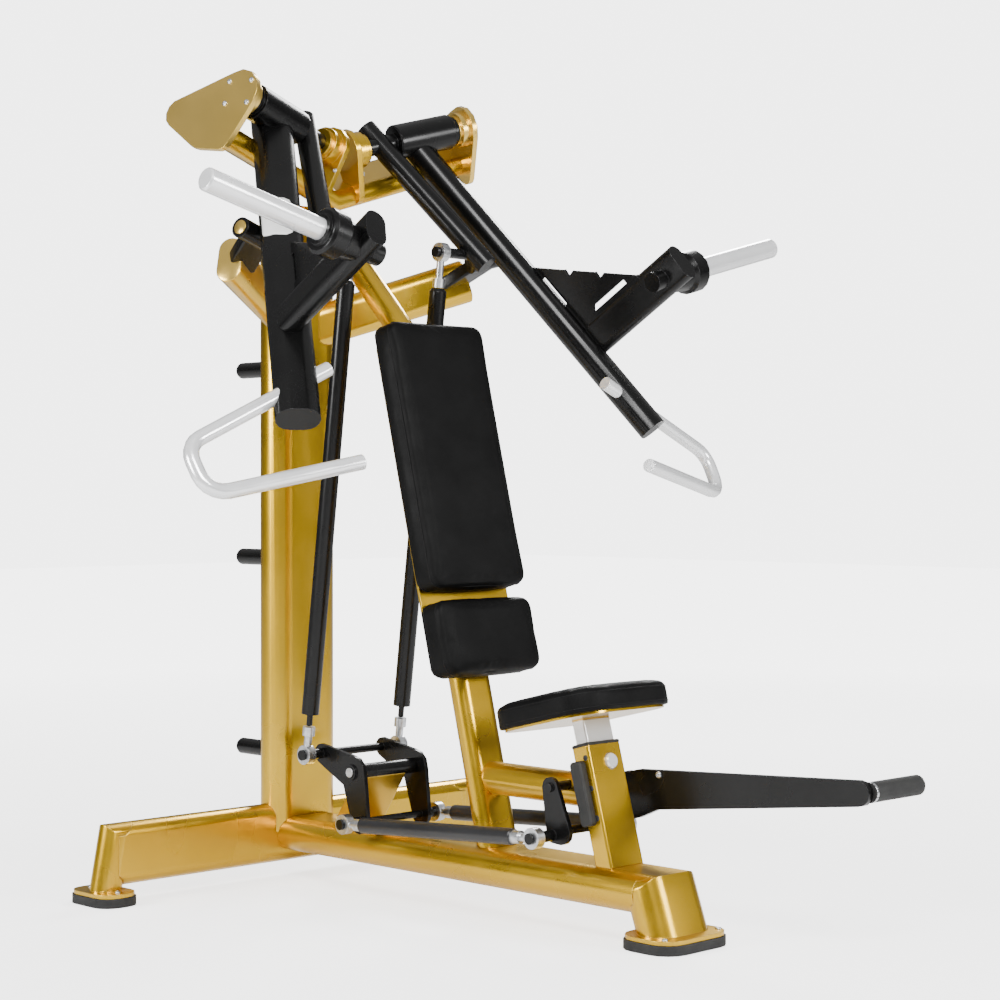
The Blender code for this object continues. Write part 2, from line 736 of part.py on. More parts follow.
def build_back():
    tube = back_tube()
    cut(tube.add("backrest_tube", "gold_paint"), main_beam().cutter())
    strut = back_strut().add("backrest_strut", "gold_paint")
    cut(strut, upper_yoke().cutter(), column().cutter(), tube.cutter())
    frame = back_frame()
    add("back_pad", back_sheet(UPPER_PAD, 0.030, -PAD_THICK, 0), frame, "leatherette")
    add("lower_back_pad", back_sheet(LOWER_PAD, 0.030, -PAD_THICK, 0), frame, "leatherette")
    back = -PAD_THICK - GAP - PLATE_THICK
    sheet = back_sheet(BACK_PLATE, 0.026, back, -PAD_THICK - GAP)
    cut(add("back_plate", sheet, frame, "gold_paint"), back_strut().cutter())


def build_seat(slider_body, knob_body):
    post = seat_post().add("seat_post", "gold_paint")
    hollow = post_tube(-0.262, 0.02, [size + 0.003 for size in SLIDER_SIZE], 0.005)
    front = facing(0, math.cos(POST_LEAN), math.sin(POST_LEAN))
    window = along_post(-0.040) + X_AXIS * 0.012
    hole = rod(window, window + front * 0.06, KNOB_RADIUS + 0.002)
    cut(post, main_beam().cutter(), hollow.cutter(0), hole.cutter(0))

    support = seat_tube().add("seat_support_tube", "gold_paint")
    pin_hole = rod(spot(-0.06, *CRANK_PIVOT), spot(0.06, *CRANK_PIVOT), CRANK_PIN + RUNNING)
    cut(support, back_tube().cutter(), seat_post().cutter(), pin_hole.cutter(0))

    slider = post_tube(-0.235, 0.064, SLIDER_SIZE, 0.004).add("seat_slider", "chrome", slider_body)
    out_of_seat = facing(0, -math.sin(SEAT_TILT), math.cos(SEAT_TILT))
    seat_frame = axes(spot(0, *SEAT_MIDDLE), out_of_seat, X_AXIS)
    tray = rounded_outline(SEAT_SIZE[0] - 0.012, SEAT_SIZE[1] - 0.012, 0.080)
    weld(slider, helper(prism(tray, -0.006, -GAP), seat_frame, slider_body))
    seat = prism(rounded_outline(SEAT_SIZE[0], SEAT_SIZE[1], 0.085, 5), 0, SEAT_SIZE[2])
    add("seat_pad", seat, seat_frame, "leatherette", slider_body)

    nose = SLIDER_SIZE[1] / 2 + 0.0008
    face = POST_SIZE[1] / 2
    knob = turned([(0.010, nose), (KNOB_RADIUS, nose + 0.001), (KNOB_RADIUS, face + 0.004),
                   (KNOB_RADIUS - 0.0025, face + 0.007)])
    add("seat_lock_knob", knob, axes(window, front, X_AXIS), "chrome", knob_body)


# ---- Starting linkage ----------------------------------------------------------------------
def eye_disc():
    return prism(circle_outline(EYE_RADIUS), -EYE_HALF_WIDTH, EYE_HALF_WIDTH)


def shank(length):
    """Thin neck that leaves an eye and ends in a nut-sized shoulder."""
    return turned(washer_stack([(0.0095, 0.010, length - 0.022), (0.0150, length - 0.022, length)]))


def ball(radius, steps=6):
    """Sphere about the local origin."""
    turns = [math.pi * i / steps for i in range(steps + 1)]
    return turned([(radius * math.sin(a), -radius * math.cos(a)) for a in turns], 2 * steps)


def add_rod_end(name, centre, towards, length, body):
    """Zinc-plated rod end: an eye across X with its shank along the rod."""
    obj = add(name, eye_disc(), axes(centre, X_AXIS, towards), "zinc", body)
    return weld(obj, helper(shank(length), axes(centre, towards, X_AXIS), body))


def eye_bore(centre, radius, body):
    return rod(centre - X_AXIS * 0.03, centre + X_AXIS * 0.03, radius, 4).cutter(0, body)


def build_push_rod(side, name, bodies):
    upper = spot(side * PUSH_ROD_SIDE, *UPPER_EYE)
    lower = spot(side * PUSH_ROD_SIDE, *ROCKER_REAR_EYE)
    down = (lower - upper).normalized()

    obj = add_rod_end(f"push_rod_upper_end_{name}", upper, down, KNUCKLE_UPPER, bodies["upper_end"])
    cut(obj, helper(ball(BALL_RADIUS + BALL_PLAY), axes(upper, X_AXIS, down), bodies["upper_end"]))
    obj = add_rod_end(f"push_rod_lower_end_{name}", lower, -down, KNUCKLE_LOWER, bodies["lower_end"])
    cut(obj, eye_bore(lower, PIN_RADIUS + RUNNING, bodies["lower_end"]))

    length = (lower - upper).length
    sleeve_start = KNUCKLE_UPPER + 0.0015
    sleeve_end = length - KNUCKLE_LOWER - 0.032
    sleeve_profile = [(0.0150, sleeve_start), (SLEEVE_RADIUS, sleeve_start + 0.008),
                      (SLEEVE_RADIUS, sleeve_end)]
    sleeve_frame = axes(upper, down, X_AXIS)
    sleeve = add(f"push_rod_sleeve_{name}", turned(sleeve_profile), sleeve_frame, "black_paint",
                 bodies["sleeve"])
    bore = prism(circle_outline(SLEEVE_BORE), sleeve_end - 0.560, sleeve_end + 0.02)
    cut(sleeve, helper(bore, sleeve_frame, bodies["sleeve"]))

    inner_profile = [(0.004, KNUCKLE_LOWER + 0.0015), (0.0075, KNUCKLE_LOWER + 0.004),
                     (0.0075, KNUCKLE_LOWER + 0.040), (0.0065, KNUCKLE_LOWER + 0.046),
                     (0.0065, KNUCKLE_LOWER + 0.480)]
    add(f"push_rod_inner_{name}", turned(inner_profile, 12), axes(lower, -down, X_AXIS),
        "black_paint", bodies["inner"])


def build_link_rod(side, name, body):
    rear = spot(side * PUSH_ROD_SIDE, *ROCKER_LOW_EYE)
    front = spot(side * PUSH_ROD_SIDE, *CRANK_EYE)
    along = (front - rear).normalized()
    length = (front - rear).length
    from_rear = axes(rear, along, X_AXIS)
    bar = turned([(0.012, 0.060), (ROD_RADIUS, 0.066), (ROD_RADIUS, length - 0.066),
                  (0.012, length - 0.060)])
    obj = add(f"link_rod_{name}", eye_disc(), axes(rear, X_AXIS, along), "black_paint", body)
    weld(obj, helper(shank(LINK_SHANK), from_rear, body), helper(bar, from_rear, body))
    weld(obj, helper(shank(LINK_SHANK), axes(front, -along, X_AXIS), body))
    weld(obj, helper(eye_disc(), axes(front, X_AXIS, along), body))
    cut(obj, eye_bore(rear, PIN_RADIUS + RUNNING, body), eye_bore(front, PIN_RADIUS + OPEN_PLAY, body))


def side_plate(groups, side, inner, body):
    """Vertical plate at one side, as hulls of discs given as (forward, up, radius)."""
    faces = (-side * inner, -side * (inner + LINK_PLATE))
    return [helper(prism(hull_outline(discs), *faces), PROFILE, body) for discs in groups]


def cross_rod(half_length, place_of, radius, body):
    """Round bar across both side plates."""
    ends = [spot(side * half_length, *place_of) for side in SIDE_NAMES]
    return rod(*ends, radius, 3).cutter(0, body)


def eye_pins(place_of, inner, body, sides=(LEFT, RIGHT)):
    """Pins that carry an eye on each side, with a shoulder inside it and a head outside it."""
    inside = PUSH_ROD_SIDE - EYE_HALF_WIDTH - GAP
    outside = PUSH_ROD_SIDE + EYE_HALF_WIDTH + GAP
    profile = washer_stack([(PIN_SHOULDER, inner, inside), (PIN_RADIUS, inside, outside),
                            (PIN_SHOULDER, outside, outside + 0.007)])
    return [helper(turned(profile, 12), axes(spot(0, *place_of), side * X_AXIS, Z_AXIS), body)
            for side in sides]


def build_rocker(body):
    outer_face = ROCKER_INNER + LINK_PLATE
    half_pin = outer_face + 0.004
    pin = rod(spot(-half_pin, *ROCKER_PIVOT), spot(half_pin, *ROCKER_PIVOT), ROCKER_PIN)
    obj = pin.add("rocker", "black_paint", body)
    rear = (*ROCKER_REAR_EYE, 0.024)
    middle = (ROCKER_PIVOT[0] + 0.004, ROCKER_PIVOT[1] - 0.002, 0.043)
    low = (*ROCKER_LOW_EYE, 0.030)
    for side in SIDE_NAMES:
        weld(obj, *side_plate([[rear, middle], [middle, low]], side, ROCKER_INNER, body))
        washer = rod(spot(side * (outer_face - 0.001), *ROCKER_PIVOT),
                     spot(side * (outer_face + 0.005), *ROCKER_PIVOT), 0.0195)
        weld(obj, washer.cutter(0, body))
    for place_of, bar_radius in ((ROCKER_REAR_EYE, 0.010), (ROCKER_LOW_EYE, 0.009)):
        weld(obj, cross_rod(ROCKER_INNER + 0.002, place_of, bar_radius, body))
        weld(obj, *eye_pins(place_of, ROCKER_INNER + 0.002, body))


def build_rocker_stand():
    half = ROCKER_INNER - 0.0007
    bearing = rod(spot(-half, *ROCKER_PIVOT), spot(half, *ROCKER_PIVOT), 0.0185)
    obj = bearing.add("rocker_bearing_tube", "black_paint")
    bore = rod(spot(-0.2, *ROCKER_PIVOT), spot(0.2, *ROCKER_PIVOT), ROCKER_PIN + RUNNING)
    cut(obj, bore.cutter(0))
    ends = [spot(0, 0.225, 0.135), spot(0, *ROCKER_PIVOT)]
    stand = Tube(ends, 0.130, 0.036, X_AXIS, corner=0.006, steps=2)
    obj = stand.add("rocker_stand", "gold_paint")
    cut(obj, bearing.cutter(), main_beam().cutter())


def build_pedal(body):
    pin = rod(spot(-CRANK_RIGHT - LINK_PLATE - 0.006, *CRANK_PIVOT),
              spot(CRANK_LEFT + LINK_PLATE, *CRANK_PIVOT), CRANK_PIN)
    obj = pin.add("pedal_crank", "black_paint", body)
    top = (*CRANK_PIVOT, 0.023)
    lobe = (CRANK_PIVOT[0] + 0.034, 0.226, 0.028)
    eye = (*CRANK_EYE, 0.017)
    for side, inner in ((LEFT, CRANK_LEFT), (RIGHT, CRANK_RIGHT)):
        weld(obj, *side_plate([[top, lobe, eye]], side, inner, body))
        weld(obj, *eye_pins(CRANK_EYE, inner + 0.002, body, (side,)))
    across = rod(spot(-CRANK_RIGHT - 0.002, CRANK_PIVOT[0] + 0.048, 0.232),
                 spot(CRANK_LEFT + 0.002, CRANK_PIVOT[0] + 0.048, 0.232), 0.010)
    weld(obj, across.cutter(0, body))

    start = CRANK_LEFT + LINK_PLATE + GAP
    end = start + LEVER_THICK

    def sheet(*discs):
        return prism(hull_outline(discs), -end, -start)

    blade = sheet((1.072, 0.306, 0.046), (1.110, 0.310, 0.040), (1.676, 0.356, 0.027))
    lever = add("pedal_lever", blade, PROFILE, "black_paint", body)
    root = sheet((1.062, 0.262, 0.022), (1.040, 0.300, 0.046), (1.130, 0.289, 0.020))
    weld(lever, helper(root, PROFILE, body))
    grip = turned([(0.022, 0), (0.022, 0.172), (0.018, 0.178)])
    frame = axes(spot(end + GAP, PEDAL_REACH - 0.022, 0.358), X_AXIS, Y_AXIS)
    add("foot_grip", grip, frame, "rubber", body)


# ---- Assembly ------------------------------------------------------------------------------
def build():
    build_base()
    build_column()
    build_yoke()
    build_rocker_stand()
    build_back()
    build_seat(pivot("seat_travel", spot(0, *POST_TOP)), pivot("knob_travel", along_post(-0.040)))
    pedal = pivot("pedal_axis", spot(0, *CRANK_PIVOT))
    rocker = pivot("rocker_axis", spot(0, *ROCKER_PIVOT))
    build_pedal(pedal)
    build_rocker(rocker)
    for side, name in SIDE_NAMES.items():
        build_bumper(side, name)
        build_arm(side, name, pivot(f"arm_axis_{name}", axis_point(side, 0.25)))
        low_eye = spot(side * PUSH_ROD_SIDE, *ROCKER_LOW_EYE)
        build_link_rod(side, name, pivot(f"link_rod_axis_{name}", low_eye))
        upper = spot(side * PUSH_ROD_SIDE, *UPPER_EYE)
        lower = spot(side * PUSH_ROD_SIDE, *ROCKER_REAR_EYE)
        down = (lower - upper).normalized()
        build_push_rod(side, name, {
            "upper_end": pivot(f"upper_end_axis_{name}", upper),
            "lower_end": pivot(f"lower_end_axis_{name}", lower),
            "sleeve": pivot(f"sleeve_axis_{name}", upper + down * KNUCKLE_UPPER),
            "inner": pivot(f"inner_rod_axis_{name}", lower - down * KNUCKLE_LOWER),
        })


clear_scene()
MATERIALS = make_paints()
build()
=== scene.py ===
"""Looks for the chest press machine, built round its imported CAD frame."""

import json
import math

import bmesh
import bpy
from mathutils import Matrix, Vector
from mathutils.bvhtree import BVHTree


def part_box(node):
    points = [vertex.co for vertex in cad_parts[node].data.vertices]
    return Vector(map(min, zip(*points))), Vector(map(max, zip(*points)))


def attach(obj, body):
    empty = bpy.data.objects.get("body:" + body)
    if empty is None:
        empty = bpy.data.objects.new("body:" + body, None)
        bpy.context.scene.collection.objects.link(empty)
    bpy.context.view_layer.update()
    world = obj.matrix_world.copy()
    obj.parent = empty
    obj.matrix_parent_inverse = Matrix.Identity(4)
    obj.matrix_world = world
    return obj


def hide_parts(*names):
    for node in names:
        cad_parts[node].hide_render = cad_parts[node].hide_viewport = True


# ---- Driving values, in metres unless named otherwise ----------------------------------------
SIDES = {1: "left", -1: "right"}
COLUMN_Y = 0.739                # the column's centre line

# Camera, light and floor
CAMERA_AT = (-3.573, -3.620, 0.980)
CAMERA_TURN = (89.734, 0.0, -44.63)  # degrees
CAMERA_LENS = 78.92             # millimetres, on a 36 mm sensor
BACKDROP = 4.5                  # brightness of the background and of the far floor
FLOOR_GLOW = 2.2                # brightness of the floor beside the machine
FLOOR_FADE = (1.2, 7.0)         # distances between which the floor brightens
SKY = ((0.0, 0.05), (0.35, 0.22), (1.0, 0.70))  # grey level by height, for reflections
LIGHTS = (                      # name, place, target, width, watts
    ("key", (-2.6, -3.2, 3.8), (0, 0, 0.9), 1.8, 290),
    ("left_strip", (-4.2, 1.2, 1.8), (0, 0.2, 1.0), 1.2, 150),
    ("front", (1.6, -4.2, 2.2), (0, 0, 0.8), 1.4, 150),
    ("rim", (3.2, 2.2, 3.4), (0, 0, 1.1), 1.4, 150),
)

# Pads
PAD_VOXEL = 0.005
PAD_PRESSURE = 2.0
PAD_SHRINK = 0.002              # how much smaller a pad starts before it swells
PAD_CAP = 0.004                 # how far stuffing may push a point of its cover
PAD_HELD = 0.004                # the cover is held to the board below this height
PAD_CROWN = 0.004               # how much higher the middle of a face is than its rim
SWELL_STEPS = 20
FRONT_SEAM, BACK_SEAM = 0.72, 0.16  # heights of the seams as fractions of the thickness
WELT_RADIUS = 0.0013
BOARD_TO_FACE = 0.064           # the back board stands this far behind BACK_FACE
PAD_THICK = 0.071
UPPER_PAD = (0.312, 0.652, 0.002)   # width, height, rise above BACK_FACE
LOWER_PAD = (0.310, 0.184, -0.436)
BACK_PAD_CORNER = 0.030
SEAT_SIZE = (0.338, 0.312, 0.056)
SEAT_CORNER = 0.085

# Back rest and seat; pairs are distances in front of the column and above the floor
BACK_FACE = (0.602, 1.066)
BACK_LEAN = math.radians(14.2)
SEAT_MIDDLE = (1.008, 0.472)
SEAT_TILT = math.radians(13.3)
POST_TOP = (1.043, 0.412)
POST_LEAN = math.radians(15.5)
POST_SIDE = 0.0541              # the post's half width, with a hair of room
SLIDER_SIZE = (0.088, 0.036)
TRAY_THICK = 0.0075             # the seat's tray with the gap above it

# Arms and crossbeams; triples start with the distance to one side
AXIS_START = (0.161, 1.821)
AXIS_SLOPE = (0.200, 0.268)
OUTER_FACE_AT = 0.3915          # the plates' faces, by distance along an arm's axis
INNER_FACE_AT = 0.0385
LOWER_YOKE_END = (0.384, 0.219, 1.524)
LOWER_YOKE_MIDDLE = (0.0, 0.0, 1.382)
LOWER_YOKE_TUBE = (0.110, 0.060)
ARM_TOP = (0.225, 0.176, 1.884)
ARM_FOOT = (0.575, 0.705, 1.131)
ARM_TUBE = (0.100, 0.068)
BADGE_SIZE = (0.037, 0.062, 0.016)  # half width, half length, corner radius
BADGE_AT = (0.014, 0.385)       # its middle, across and along the right arm
REST_ALONG = 0.365              # where the arm lies on its rest, from the arm's top
REST_RADIUS = 0.026
REST_HALF_LENGTH = 0.062

# Starting linkage and feet
ROCKER_PIVOT = (0.334, 0.296)
LINK_EYES = (0.363, 0.998)      # how far forward the link rods' rear and front eyes are
LINK_SHANK = 0.063              # length of a link rod's plated end
LEVER_FACE = 0.1074             # the pedal lever's inner face, beside the column's line
FOOT_TOP = 0.0310

# Paint
GOLD = ((0.62, 0.365, 0.008), (0.70, 0.425, 0.014))
PALE_GOLD = ((0.78, 0.52, 0.11), (0.84, 0.58, 0.15))
CHROME = ((0.86, 0.87, 0.88), (0.95, 0.95, 0.96))
WELD_DISTANCE = 2e-5
COPLANAR = math.radians(0.6)    # faces closer than this in angle count as one
CRISP = math.radians(35)        # sharper edges than this stay crisp

X_AXIS = Vector((1, 0, 0))
Y_AXIS = Vector((0, 1, 0))
Z_AXIS = Vector((0, 0, 1))
CORNERS = ((1, 1), (-1, 1), (-1, -1), (1, -1))

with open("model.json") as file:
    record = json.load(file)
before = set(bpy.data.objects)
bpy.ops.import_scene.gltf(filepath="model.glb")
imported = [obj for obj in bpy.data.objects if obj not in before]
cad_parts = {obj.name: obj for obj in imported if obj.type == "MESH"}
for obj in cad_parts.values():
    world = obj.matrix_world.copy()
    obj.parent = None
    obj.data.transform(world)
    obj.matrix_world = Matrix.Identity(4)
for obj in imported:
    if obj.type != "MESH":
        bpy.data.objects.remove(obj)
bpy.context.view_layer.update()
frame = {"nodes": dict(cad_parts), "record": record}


# ---- Places --------------------------------------------------------------------------------
def spot(side, forward, up):
    """World point from its distances beside and in front of the column, and above the floor."""
    return Vector((side, COLUMN_Y - forward, up))


def facing(side, forward, up):
    """Unit vector that goes beside, forward and up by these amounts."""
    return Vector((side, -forward, up)).normalized()


def axes(origin, along, across):
    """Placement whose Z runs along one direction and whose X lies as near another as it can."""
    z = along.normalized()
    x = (across - across.dot(z) * z).normalized()
    turn = Matrix((x, z.cross(x), z)).transposed()
    return Matrix.Translation(origin) @ turn.to_4x4()


def arm_axis(side, distance):
    """Placement on an arm's pivot axis: Z outward along it, X towards the rear."""
    direction = facing(side, *AXIS_SLOPE)
    return axes(spot(0, *AXIS_START) + distance * direction, direction, Y_AXIS)


BACK = axes(spot(0, *BACK_FACE), facing(0, math.cos(BACK_LEAN), math.sin(BACK_LEAN)), X_AXIS)
SEAT = axes(spot(0, *SEAT_MIDDLE), facing(0, -math.sin(SEAT_TILT), math.cos(SEAT_TILT)), X_AXIS)
POST = axes(spot(0, *POST_TOP), facing(0, -math.sin(POST_LEAN), math.cos(POST_LEAN)), X_AXIS)


# ---- Materials -----------------------------------------------------------------------------
class Recipe:
    """Small helper for a node material: adds nodes and links them in order."""

    def __init__(self, name):
        self.material = bpy.data.materials.new(name)
        self.material.use_nodes = True
        self.nodes = self.material.node_tree.nodes
        self.links = self.material.node_tree.links
        self.shader = self.nodes["Principled BSDF"]
        self.place = self.nodes.new("ShaderNodeTexCoord").outputs["Object"]

    def noise(self, scale, detail=3.0, roughness=0.5):
        node = self.nodes.new("ShaderNodeTexNoise")
        node.inputs["Scale"].default_value = scale
        node.inputs["Detail"].default_value = detail
        node.inputs["Roughness"].default_value = roughness
        self.links.new(self.place, node.inputs["Vector"])
        return node.outputs["Fac"]

    def cells(self, scale):
        node = self.nodes.new("ShaderNodeTexVoronoi")
        node.feature = "DISTANCE_TO_EDGE"
        node.inputs["Scale"].default_value = scale
        self.links.new(self.place, node.inputs["Vector"])
        return node.outputs["Distance"]

    def ramp(self, factor, stops):
        """stops are (position, colour) pairs; a colour may be one grey number."""
        node = self.nodes.new("ShaderNodeValToRGB")
        while len(node.color_ramp.elements) < len(stops):
            node.color_ramp.elements.new(0.5)
        for element, (position, colour) in zip(node.color_ramp.elements, stops):
            grey = (colour,) * 3 if isinstance(colour, float) else colour
            element.position = position
            element.color = (*grey, 1.0)
        self.links.new(factor, node.inputs["Fac"])
        return node.outputs["Color"]

    def mottled(self, scale, detail, shades):
        """Slow drift between a dark shade and a light one."""
        dark, light = shades
        return self.ramp(self.noise(scale, detail), [(0.3, dark), (0.7, light)])

    def edges(self, radius, low, high):
        """Mask of convex edges, found by comparing a rounded normal with the true one."""
        bevel = self.nodes.new("ShaderNodeBevel")
        bevel.samples = 4
        bevel.inputs["Radius"].default_value = radius
        geometry = self.nodes.new("ShaderNodeNewGeometry")
        dot = self.nodes.new("ShaderNodeVectorMath")
        dot.operation = "DOT_PRODUCT"
        self.links.new(bevel.outputs["Normal"], dot.inputs[0])
        self.links.new(geometry.outputs["Normal"], dot.inputs[1])
        return self.ramp(dot.outputs["Value"], [(low, 1.0), (high, 0.0)])

    def mix(self, factor, first, second):
        node = self.nodes.new("ShaderNodeMix")
        node.data_type = "RGBA"
        self.links.new(factor, node.inputs["Factor"])
        for socket, value in ((node.inputs["A"], first), (node.inputs["B"], second)):
            if isinstance(value, tuple):
                socket.default_value = (*value, 1.0)
            else:
                self.links.new(value, socket)
        return node.outputs["Result"]

    def bump(self, height, strength, distance, rounding=0.0):
        node = self.nodes.new("ShaderNodeBump")
        node.inputs["Strength"].default_value = strength
        node.inputs["Distance"].default_value = distance
        self.links.new(height, node.inputs["Height"])
        if rounding:
            bevel = self.nodes.new("ShaderNodeBevel")
            bevel.samples = 4
            bevel.inputs["Radius"].default_value = rounding
            self.links.new(bevel.outputs["Normal"], node.inputs["Normal"])
        self.links.new(node.outputs["Normal"], self.shader.inputs["Normal"])

    def set(self, **values):
        for name, value in values.items():
            socket = self.shader.inputs[name.replace("_", " ")]
            if isinstance(value, bpy.types.NodeSocket):
                self.links.new(value, socket)
            elif isinstance(value, tuple) and len(value) == 3:
                socket.default_value = (*value, 1.0)
            else:
                socket.default_value = value
        return self.material


def gold_paint(name, colours):
    """Metallic powder coat: fine sparkle, slow colour drift, paler worn edges, faint orange peel."""
    make = Recipe(name)
    drift = make.mottled(2.5, 2, colours)
    sparkle = make.ramp(make.noise(900, 1), [(0.45, 0.0), (0.72, 0.14)])
    base = make.mix(sparkle, drift, (0.95, 0.70, 0.20))
    worn = make.mix(make.edges(0.004, 0.80, 0.97), base, (0.84, 0.56, 0.10))
    make.bump(make.noise(160, 2), 0.05, 0.002, 0.0025)
    return make.set(Base_Color=worn, Metallic=0.94, Coat_Weight=0.35, Coat_Roughness=0.10,
                    Roughness=make.mottled(6, 3, (0.25, 0.34)))


def black_paint():
    make = Recipe("black_powder_coat")
    base = make.mottled(5, 4, ((0.002, 0.002, 0.002), (0.005, 0.005, 0.005)))
    worn = make.mix(make.edges(0.003, 0.80, 0.96), base, (0.020, 0.020, 0.021))
    make.bump(make.noise(420, 3), 0.07, 0.0006, 0.002)
    return make.set(Base_Color=worn, Metallic=0.0, Specular_IOR_Level=0.28,
                    Roughness=make.mottled(9, 3, (0.22, 0.30)))


def chrome():
    make = Recipe("polished_chrome")
    base = make.mottled(7, 3, CHROME)
    make.bump(make.noise(60, 2), 0.02, 0.001, 0.0015)
    return make.set(Base_Color=base, Metallic=0.45, Coat_Weight=0.8, Coat_Roughness=0.05,
                    Roughness=make.ramp(make.noise(14, 4), [(0.35, 0.16), (0.7, 0.28)]))


def zinc():
    make = Recipe("zinc_plate")
    base = make.mottled(90, 4, ((0.48, 0.49, 0.50), (0.74, 0.75, 0.77)))
    make.bump(make.noise(300, 2), 0.08, 0.0006, 0.001)
    return make.set(Base_Color=base, Metallic=1.0,
                    Roughness=make.mottled(40, 3, (0.24, 0.40)))


def link_rod_finish():
    """Black bar whose two eyes and shanks are zinc plated, split by distance along the rod."""
    make = Recipe("link_rod_finish")
    split = make.nodes.new("ShaderNodeSeparateXYZ")
    make.links.new(make.place, split.inputs["Vector"])
    offset = make.nodes.new("ShaderNodeMath")
    offset.operation = "SUBTRACT"
    offset.inputs[1].default_value = COLUMN_Y - (LINK_EYES[0] + LINK_EYES[1]) / 2
    make.links.new(split.outputs["Y"], offset.inputs[0])
    away = make.nodes.new("ShaderNodeMath")
    away.operation = "ABSOLUTE"
    make.links.new(offset.outputs[0], away.inputs[0])
    plated_from = (LINK_EYES[1] - LINK_EYES[0]) / 2 - LINK_SHANK
    plated = make.ramp(away.outputs[0], [(plated_from, 0.0), (plated_from + 0.001, 1.0)])
    metal = make.mottled(90, 4, ((0.50, 0.51, 0.52), (0.76, 0.77, 0.79)))
    paint = make.mottled(5, 4, ((0.010, 0.010, 0.011), (0.019, 0.019, 0.020)))
    make.bump(make.noise(380, 3), 0.12, 0.0008, 0.001)
    return make.set(Base_Color=make.mix(plated, paint, metal), Metallic=plated, Roughness=0.32)


def seat_slider_finish():
    """Chromed post whose welded tray is painted gold, split at the tray's underside."""
    make = Recipe("seat_slider_finish")
    out = SEAT.to_3x3() @ Z_AXIS
    height = make.nodes.new("ShaderNodeVectorMath")
    height.operation = "DOT_PRODUCT"
    height.inputs[1].default_value = out
    make.links.new(make.place, height.inputs[0])
    level = out.dot(SEAT.to_translation()) - TRAY_THICK
    painted = make.ramp(height.outputs["Value"], [(level, 0.0), (level + 0.0005, 1.0)])
    metal = make.mottled(7, 3, CHROME)
    gold = make.mottled(2.5, 2, GOLD)
    make.bump(make.noise(60, 2), 0.02, 0.001, 0.0015)
    return make.set(Base_Color=make.mix(painted, metal, gold), Roughness=0.24, Coat_Weight=0.6,
                    Coat_Roughness=0.07, Metallic=make.ramp(painted, [(0.0, 0.45), (1.0, 0.94)]))


def rubber():
    make = Recipe("moulded_rubber")
    base = make.mottled(30, 4, ((0.006, 0.006, 0.006), (0.013, 0.013, 0.012)))
    dusty = make.mix(make.edges(0.003, 0.75, 0.95), base, (0.045, 0.044, 0.042))
    make.bump(make.noise(520, 3), 0.30, 0.0012, 0.0015)
    return make.set(Base_Color=dusty, Metallic=0.0,
                    Roughness=make.mottled(20, 2, (0.60, 0.78)))


def leatherette():
    """Black artificial leather: fine pebble grain broken up by slow creases."""
    make = Recipe("black_leatherette")
    base = make.mottled(12, 4, ((0.002, 0.002, 0.002), (0.004, 0.004, 0.004)))
    pebbles = make.ramp(make.cells(420), [(0.0, 0.0), (0.35, 1.0)])
    creases = make.noise(24, 5, 0.6)
    height = make.mix(make.ramp(creases, [(0.35, 0.15), (0.65, 0.45)]), pebbles, creases)
    make.bump(height, 0.28, 0.0006)
    return make.set(Base_Color=base, Metallic=0.0, Specular_IOR_Level=0.10,
                    Roughness=make.mottled(18, 3, (0.46, 0.58)))


def thread():
    make = Recipe("seam_welt")
    base = make.mottled(200, 2, ((0.003, 0.003, 0.003), (0.006, 0.006, 0.006)))
    make.bump(make.noise(700, 2), 0.3, 0.0005)
    return make.set(Base_Color=base, Specular_IOR_Level=0.15, Roughness=0.6)


def pale_plastic():
    make = Recipe("pale_moulded_plastic")
    base = make.mottled(18, 3, ((0.72, 0.72, 0.70), (0.84, 0.84, 0.82)))
    make.bump(make.noise(240, 2), 0.08, 0.0008, 0.0008)
    return make.set(Base_Color=base, Roughness=0.42)


def floor_paint():
    make = Recipe("pale_floor")
    base = make.mottled(0.8, 2, ((0.90, 0.90, 0.90), (0.92, 0.92, 0.92)))
    length = make.nodes.new("ShaderNodeVectorMath")
    length.operation = "LENGTH"
    make.links.new(make.place, length.inputs[0])
    near_to_far = make.nodes.new("ShaderNodeMapRange")
    near_to_far.inputs["From Min"].default_value = FLOOR_FADE[0]
    near_to_far.inputs["From Max"].default_value = FLOOR_FADE[1]
    near_to_far.inputs["To Min"].default_value = FLOOR_GLOW
    near_to_far.inputs["To Max"].default_value = BACKDROP
    make.links.new(length.outputs["Value"], near_to_far.inputs["Value"])
    rays = make.nodes.new("ShaderNodeLightPath")
    glow = make.nodes.new("ShaderNodeMix")
    glow.inputs["A"].default_value = 0.10
    make.links.new(rays.outputs["Is Camera Ray"], glow.inputs["Factor"])
    make.links.new(near_to_far.outputs["Result"], glow.inputs["B"])
    return make.set(Base_Color=base, Roughness=0.75, Emission_Color=(1.0, 1.0, 1.0),
                    Emission_Strength=glow.outputs["Result"])


PAINT = {
    "gold_paint": gold_paint("gold_powder_coat", GOLD),
    "pale_gold": gold_paint("pale_gold_powder_coat", PALE_GOLD),
    "black_paint": black_paint(),
    "chrome": chrome(),
    "zinc": zinc(),
    "rubber": rubber(),
    "leatherette": leatherette(),
    "thread": thread(),
    "pale_plastic": pale_plastic(),
    "link_rod_finish": link_rod_finish(),
    "seat_slider_finish": seat_slider_finish(),
    "floor": floor_paint(),
}


